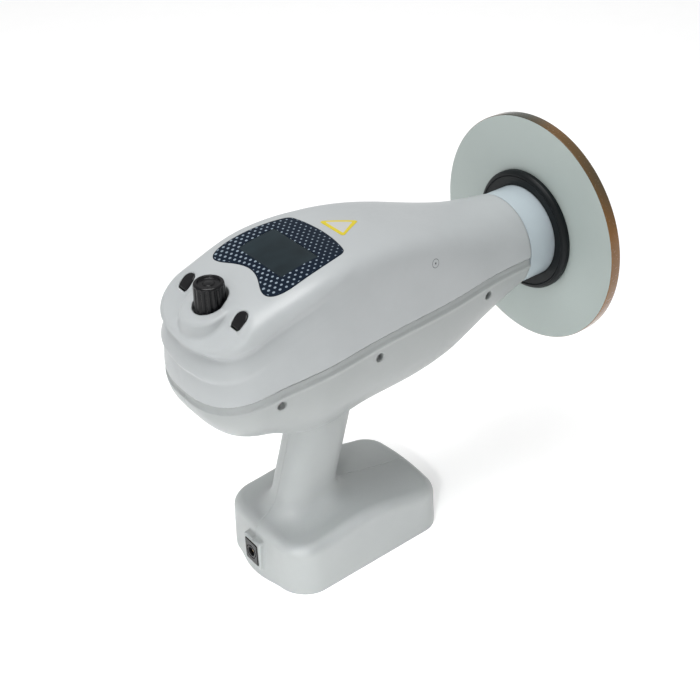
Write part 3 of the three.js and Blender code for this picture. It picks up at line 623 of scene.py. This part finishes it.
moulded("cover_shell", cover, (
    ladder((-109, 0.8), (-58, 1.3), (NECK + 1, 0)),
    ladder((-53.5, 1.0), (53.5, 0)),
    ladder((163, 0.55), (179, 0.9), (238, 0)),
), "housing", shell_plastic, "top_cover")

# The lower housings take the darker copy of the shell plastic, which paints in their shade.
for side, name in ((1, "left"), (-1, "right")):
    moulded(f"{name}_shell", lower_housing(side), (
        ladder((-109, 0.9), (-50, 1.3), (NECK + 1, 0)),
        ladder((-2.0, 0.85), (53.5, 0)) if side > 0 else ladder((-53.5, 0.85), (2.0, 0)),
        ladder((-2, 1.3), (150, 1.1), (156, 0.5), (179, 0)),
    ), "housing", lower_plastic_painted_shade, f"{name}_housing")

# ---------------------------------------------------------------- films and window


def land(points, along, offset):
    """Moves points along a direction to the cover's outer surface, or that far above it."""
    points = np.array(points, float)
    for _ in range(12):
        slope = gradient(cover_skin, points) @ along
        lift = (cover_skin(*points.T) - offset) / np.maximum(slope, 0.2)
        points -= np.clip(lift, -6, 6)[:, None] * along
    return points


def within(points, loop):
    """Which plan points lie inside a closed loop."""
    a, b = np.asarray(loop), np.roll(loop, -1, axis=0)
    x, y = points[:, :1], points[:, 1:2]
    spans = (a[:, 1] > y) != (b[:, 1] > y)
    rise = np.where(b[:, 1] == a[:, 1], 1, b[:, 1] - a[:, 1])
    cross = a[:, 0] + (y - a[:, 1]) * (b[:, 0] - a[:, 0]) / rise
    return (spans & (x < cross)).sum(1) % 2 == 1


def inset(loop, distance):
    """A counter-clockwise loop moved inwards."""
    loop = np.asarray(loop, float)
    tangent = np.roll(loop, -1, axis=0) - np.roll(loop, 1, axis=0)
    tangent /= np.linalg.norm(tangent, axis=1, keepdims=True)
    return loop + distance * np.stack([-tangent[:, 1], tangent[:, 0]], 1)


def round_path(points, step=18):
    """A closed path through (a, b, radius) corners, with an arc at each rounded one."""
    path = []
    for i, (a, b, radius) in enumerate(points):
        here = np.array((a, b), float)
        back, on = (np.array(points[(i + k) % len(points)][:2]) - here for k in (-1, 1))
        back, on = back / np.linalg.norm(back), on / np.linalg.norm(on)
        if radius == 0:
            path.append(here)
            continue
        half = math.acos(max(-1, min(1, float(back @ on)))) / 2
        centre = here + (back + on) / np.linalg.norm(back + on) * radius / math.sin(half)
        start = here + back * radius / math.tan(half) - centre
        end = here + on * radius / math.tan(half) - centre
        turn = math.atan2(start[0] * end[1] - start[1] * end[0], start @ end)
        count = max(2, round(abs(math.degrees(turn)) / step))
        for k in range(count + 1):
            t = turn * k / count
            c, s = math.cos(t), math.sin(t)
            path.append(centre + (start[0] * c - start[1] * s, start[0] * s + start[1] * c))
    return np.array(path)


def respace(loop, spacing):
    """Extra points along a loop's long edges."""
    out = []
    for a, b in zip(loop, np.roll(loop, -1, axis=0)):
        count = max(1, math.ceil(np.linalg.norm(b - a) / spacing))
        out += [a + (b - a) * k / count for k in range(count)]
    return np.array(out)


def film(name, outline, materials, replaces=(), hole=None, areas=(), top=0.36, low=0.04,
         frame_at=None, spacing=2.6):
    """A thin sheet that follows the cover, from low to top above it. Its plan lies flat, or in
    frame_at: an origin, two directions across and one outwards. Areas are loops that take the
    later materials."""
    edge = min(0.2, top * 0.6)
    rings = [outline] + ([hole] if hole is not None else [])
    loops = rings + [inset(outline, edge)] + ([inset(hole[::-1], -edge)] if hole is not None else [])
    loops += list(areas)
    plan, edges = [], []
    for loop in loops:
        first = len(plan)
        plan += [tuple(p) for p in loop]
        edges += [(first + k, first + (k + 1) % len(loop)) for k in range(len(loop))]
    lo, hi = np.min(outline, axis=0), np.max(outline, axis=0)
    lines = (np.arange(lo[k], hi[k], spacing) for k in (0, 1))
    grid = np.stack(np.meshgrid(*lines), -1).reshape(-1, 2)
    keep = within(grid, inset(outline, edge + 0.3))
    if hole is not None:
        keep &= ~within(grid, inset(hole[::-1], -edge - 0.3))
    plan += [tuple(p) for p in grid[keep]]
    verts, _, tris, *_ = delaunay_2d_cdt([Vector(p) for p in plan], edges, [], 0, 1e-4)
    flat = np.array([tuple(v) for v in verts])
    tris = np.array([list(t) for t in tris])
    centres = flat[tris].mean(1)
    inside = within(centres, outline)
    if hole is not None:
        inside &= ~within(centres, hole)
    tris, centres = tris[inside], centres[inside]
    rim = np.zeros(len(flat), bool)
    for ring in rings:
        for p in ring:
            rim[np.argmin(((flat - p) ** 2).sum(1))] = True
    if frame_at is None:
        start, along = np.column_stack([flat, top_z(flat[:, 0]) + 1]), np.array((0.0, 0.0, 1.0))
    else:
        origin, across, up, along = frame_at
        start = origin + flat[:, :1] * across + flat[:, 1:] * up
    upper = land(start, along, top)
    lowered = land(start, along, top - edge)
    upper[rim] = lowered[rim]
    under = land(start, along, low)
    count = len(flat)
    sides = []
    seen = {pair: True for t in tris for pair in ((t[0], t[1]), (t[1], t[2]), (t[2], t[0]))}
    for a, b in seen:
        if (b, a) not in seen:
            sides += [(b, a, a + count), (b, a + count, b + count)]
    faces = np.concatenate([tris, tris[:, ::-1] + count, np.array(sides)])
    obj = make(name, np.concatenate([upper, under]), faces, "housing", materials[0], replaces)
    obj.data.set_sharp_from_angle(angle=math.radians(35))
    for material in materials[1:]:
        obj.data.materials.append(material)
    index = np.zeros(len(faces), np.int32)
    for k, area_loop in enumerate(areas):
        index[:len(tris)][within(centres, area_loop)] = k + 1
    obj.data.polygons.foreach_set("material_index", index)


def curve(points, count=14):
    """A Bezier span of 3 or 4 control points, without its last point."""
    t = np.linspace(0, 1, count, endpoint=False)[:, None]
    p = [np.array(q, float) for q in points]
    if len(p) == 3:
        return (1 - t) ** 2 * p[0] + 2 * t * (1 - t) * p[1] + t * t * p[2]
    return (1 - t) ** 3 * p[0] + 3 * t * (1 - t) ** 2 * p[1] + 3 * t * t * (1 - t) * p[2] + t ** 3 * p[3]


def panel_outline():
    """The display film: bowed front and sides, and a rear hollowed out round the knob."""
    half = [
        curve([(1.4, 0), (1.2, 14), (-2.2, 25.5)]),
        curve([(-2.2, 25.5), (-3.4, 28.9), (-8, 29.9)], 6),
        curve([(-8, 29.9), (-24, 33.9), (-44, 34.9)], 16),
        curve([(-44, 34.9), (-54, 35.3), (-60.3, 32), (-59.7, 25.5)]),
        curve([(-59.7, 25.5), (-59.2, 18.5), (-51.9, 12), (-51.6, 0)], 16),
    ]
    left = np.concatenate(half)
    right = left[1:][::-1] * (1, -1)
    return respace(np.concatenate([left, [(-51.6, 0)], right]), 1.4)


def window_loop(grow, radius):
    """The display window's outline."""
    x, y = SCREEN_HALF_X + grow, SCREEN_HALF_Y + grow
    corners = [(SCREEN_X + a * x, b * y, radius) for a, b in ((1, -1), (1, 1), (-1, 1), (-1, -1))]
    return respace(round_path(corners), 1.6)


panel = panel_outline()
film("display_film", panel, [border_film, dotted_film()], ["display_overlay"],
     hole=window_loop(0.1, 0.9)[::-1], areas=[inset(panel, 0.7)])
film("display_glass", window_loop(-0.05, 0.8), [window_glass], ["display_window"],
     top=0.12, low=-1.2, spacing=3.5)


def triangle(grow, radius):
    """The caution label's outline, pointing forward."""
    corners = [(7.4 - grow, -12.8 - 1.4 * grow, radius), (28.6 + 1.9 * grow, 0, radius),
               (7.4 - grow, 12.8 + 1.4 * grow, radius)]
    return respace(round_path(corners, 14), 1.2)


film("caution_label", triangle(0, 1.6), [yellow_print, white_print], ["warning_label"],
     areas=[triangle(-2.5, 0.6)], top=0.22, spacing=2.0)

# The focal-spot mark on the right side of the cover: a ring and a dot.
origin = land(np.array([(56.0, -50.0, 209.5)]), np.array((0.0, -1.0, 0.0)), 0)[0]
outward = gradient(cover_skin, origin[None])[0]
across = np.cross((0, 0, 1), outward)
across /= np.linalg.norm(across)
spot_frame = (origin, across, np.cross(outward, across), outward)
circle = round_path([(1, 1, 1), (-1, 1, 1), (-1, -1, 1), (1, -1, 1)], 15)
film("focus_ring", circle * 3.0, [grey_print], hole=circle[::-1] * 2.65, top=0.06, low=0.01,
     frame_at=spot_frame, spacing=5)
film("focus_dot", circle * 0.7, [grey_print], top=0.06, low=0.01, frame_at=spot_frame, spacing=5)

# ---------------------------------------------------------------- turned parts


def turned(name, path, body, material, replaces, centre=None, segments=144, shape=None, sharp=28):
    """Turns a closed (height, radius) path: about the beam, or about an upright axis at x = centre."""
    path = np.asarray(path, float)
    angle = np.linspace(0, 2 * math.pi, segments, endpoint=False)
    height = np.repeat(path[:, 0], segments)
    radius = np.repeat(path[:, 1], segments)
    around = np.tile(angle, len(path))
    if shape is not None:
        radius = shape(height, radius, around)
    c, s = radius * np.cos(around), radius * np.sin(around)
    if centre is None:
        points = np.stack([height, c, BEAM_Z + s], 1)
    else:
        points = np.stack([centre + c, s, height], 1)
    i = np.arange(len(path))[:, None] * segments
    j = np.arange(segments)[None, :]
    i2, j2 = np.roll(i, -1, axis=0), np.roll(j, -1, axis=1)
    quads = np.stack([i + j, i + j2, i2 + j2, i2 + j], -1).reshape(-1, 4)
    if centre is not None:
        quads = quads[:, ::-1]
    obj = make(name, points, quads, body, material, replaces)
    area_sign = (path[:, 0] * np.roll(path[:, 1], -1) - np.roll(path[:, 0], -1) * path[:, 1]).sum()
    if (area_sign > 0) == (centre is None):
        obj.data.flip_normals()
    obj.data.set_sharp_from_angle(angle=math.radians(sharp))
    return obj


turned("cone_barrel", round_path([
    (CONE_START, CONE_BORE_R, 0), (CONE_FRONT, CONE_BORE_R, 0.6), (CONE_FRONT, CONE_R, 1.2),
    (NECK + GAP, CONE_R, 0.4), (NECK + GAP, CONE_SPIGOT_R, 0.3), (CONE_START, CONE_SPIGOT_R, 0.3),
]), "housing", tube_plastic, ["cone_tube"])

disc_front = DISC_X + DISC_T
slip = CONE_R + GAP
disc = turned("shield_sheet", round_path([
    (DISC_X, slip, 0.3), (DISC_X, DISC_R - 0.9, 0), (DISC_X + 0.15, DISC_R, 0.4),
    (disc_front - 0.15, DISC_R, 0.4), (disc_front, DISC_R - 0.9, 0), (disc_front, slip, 0.3),
]), "shield", sheet_film, ["shield_disc"], segments=200)
disc.data.materials.append(sheet_edge)
for face in disc.data.polygons:
    if math.hypot(face.center.y, face.center.z - BEAM_Z * MM) > (DISC_R - 0.6) * MM:
        face.material_index = 1

turned("shield_boot", round_path([
    (DISC_X - GAP, slip, 0.2), (166.9, slip, 0.5), (166.5, 38.6, 0), (167.0, BOOT_LIP_R, 0.15),
    (166.2, 39.5, 0.3), (166.5, 41.0, 1.2), (168.4, BOOT_R, 1.0), (DISC_X - GAP, BOOT_R, 0.2),
]), "shield", black_rubber, ["shield_collar"])
front = disc_front + GAP
turned("shield_ring", round_path([
    (front, slip, 0.3), (front, RING_R, 0.3), (front + RING_T, RING_R, 1.8), (front + RING_T, slip, 1.0),
]), "shield", black_rubber, ["shield_retainer"])


def fluted(height, radius, around):
    """Narrow grooves up the side of the knob."""
    band = ramp(height, KNOB_BOTTOM + 2.6, KNOB_BOTTOM + 3.6) * (1 - ramp(height, 228.2, 229.6))
    groove = (0.5 + 0.5 * np.cos(KNOB_FLUTES * around)) ** 2
    return radius - (radius > 7.5) * band * 0.7 * groove


shaft_low, shaft_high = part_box("encoder_shaft")
bore_top, bore_r = shaft_high.z / MM + 0.3, (shaft_high.y - shaft_low.y) / MM / 2 + 0.3
side_line = [(z, 9.75 - 0.45 * (z - 214.2) / 14.2, 0) for z in np.linspace(214.2, 228.4, 12)]
turned("knob_cap", round_path([
    (bore_top, 0.01, 0), (bore_top, bore_r, 0), (KNOB_BOTTOM, bore_r, 0.2),
    (KNOB_BOTTOM, KNOB_SKIRT_R, 0.3), (213.4, KNOB_SKIRT_R, 0.5), *side_line, (KNOB_TOP, KNOB_TOP_R, 1.5),
    (KNOB_TOP, 7.0, 0.5), (228.9, 6.4, 0.6), (228.9, 3.6, 0.3), (229.5, 3.0, 0.6), (229.7, 0.01, 0),
], 12), "knob", black_plastic, ["selector_knob"], centre=KNOB_X, segments=256, shape=fluted)

# ---------------------------------------------------------------- buttons and inlet


def button(side):
    """Field of the left (1) or right (-1) key, which stands just above the cover."""
    def field(x, y, z):
        plan = button_outline(x, y, side)
        crown = cover_skin(x, y, z) - 0.55 + 0.02 * np.clip(plan + 3, 0, 3) ** 2
        return rounded(rounded(plan, crown, 0.9), 213.5 - z, 0.4)
    return field


for side, name in ((1, "left"), (-1, "right")):
    middle = side * BUTTON_Y
    moulded(f"{name}_key_cap", button(side), (
        ladder((BUTTON_X - 7, 0.4), (BUTTON_X + 8, 0)),
        ladder((middle - 8, 0.4), (middle + 8, 0)),
        ladder((212.5, 0.5), (225, 0)),
    ), f"{name}_key", black_plastic, f"{name}_button")


def inlet(x, y, z):
    """Distance to the inlet's face plate and body, with a ring groove and the plug's bore."""
    plate = box_distance(y, z - INLET_Z, 7, 8.75, 1.1)
    body = rounded(plate, np.maximum(INLET_FACE - 0.5 - x, x + 58), 0.5)
    r = np.hypot(y, z - INLET_Z)
    body = rounded(body, -np.maximum(np.maximum(r - 5.3, 4.6 - r), x + 68.9), 0.15)
    return rounded(body, -np.maximum(r - 3.2, x + 60.5), 0.5)


moulded("inlet_socket", inlet, (
    ladder((-70.4, 0.35), (-66, 0.7), (-57, 0)),
    ladder((-8, 0.4), (8, 0)),
    ladder((8, 0.4), (28, 0)),
), "housing", black_plastic, "dc_inlet")

# ---------------------------------------------------------------- stage

def area(name, location, target, size, power, beam=180):
    """A round soft light, with its beam's full angle in degrees."""
    data = bpy.data.lights.new(name, "AREA")
    data.shape = "DISK"
    data.size, data.energy, data.spread = size, power, math.radians(beam)
    light = bpy.data.objects.new(name, data)
    light.location = location
    direction = Vector(target) - Vector(location)
    light.rotation_euler = direction.to_track_quat("-Z", "Y").to_euler()
    bpy.context.scene.collection.objects.link(light)


def camera():
    """The camera, from where it stands and its azimuth, elevation and roll."""
    azimuth, elevation, roll = (math.radians(v) for v in (-35.794, 33.458, -2.311))
    back = Vector((math.sin(azimuth) * math.cos(elevation), -math.cos(azimuth) * math.cos(elevation),
                   math.sin(elevation)))
    level = (-back).cross(Vector((0, 0, 1))).normalized()
    upright = level.cross(-back)
    right = level * math.cos(roll) + upright * math.sin(roll)
    up = -level * math.sin(roll) + upright * math.cos(roll)
    data = bpy.data.cameras.new("camera")
    data.sensor_width, data.lens = 36.0, 67.77
    obj = bpy.data.objects.new("camera", data)
    turn = Matrix((right, up, back)).transposed().to_4x4()
    obj.matrix_world = Matrix.Translation(Vector((-0.3978, -0.5768, 0.6114))) @ turn
    bpy.context.scene.collection.objects.link(obj)
    bpy.context.scene.camera = obj


def stage():
    """Pale floor, even surroundings and three lights."""
    mesh = bpy.data.meshes.new("floor")
    mesh.from_pydata([(-6, -6, 0), (6, -6, 0), (6, 6, 0), (-6, 6, 0)], [], [(0, 1, 2, 3)])
    paper = surface("floor_paper", (0.85, 0.85, 0.85), 0.8, vary=0.01, relief=0.02)
    glow = paper.node_tree.nodes["Principled BSDF"].inputs
    glow["Emission Color"].default_value = (1, 1, 1, 1)
    glow["Emission Strength"].default_value = 0.3
    mesh.materials.append(paper)
    floor = bpy.data.objects.new("floor", mesh)
    bpy.context.scene.collection.objects.link(floor)
    world = bpy.data.worlds.new("studio")
    world.use_nodes = True
    sky = world.node_tree.nodes["Background"].inputs
    sky["Color"].default_value = (1, 1, 1, 1)
    sky["Strength"].default_value = 0.49
    bpy.context.scene.world = world
    bpy.context.scene.view_settings.view_transform = "Standard"
    area("top", (-0.15, 0.05, 1.8), (0.0, 0.0, 0.1), 1.2, 21)
    area("rear", (-1.4, -0.7, 0.35), (0, 0, 0.06), 0.8, 2)
    area("base", (-0.95, -0.85, 0.85), (0.01, 0.0, -0.14), 0.25, 0.26, 21)


camera()
stage()
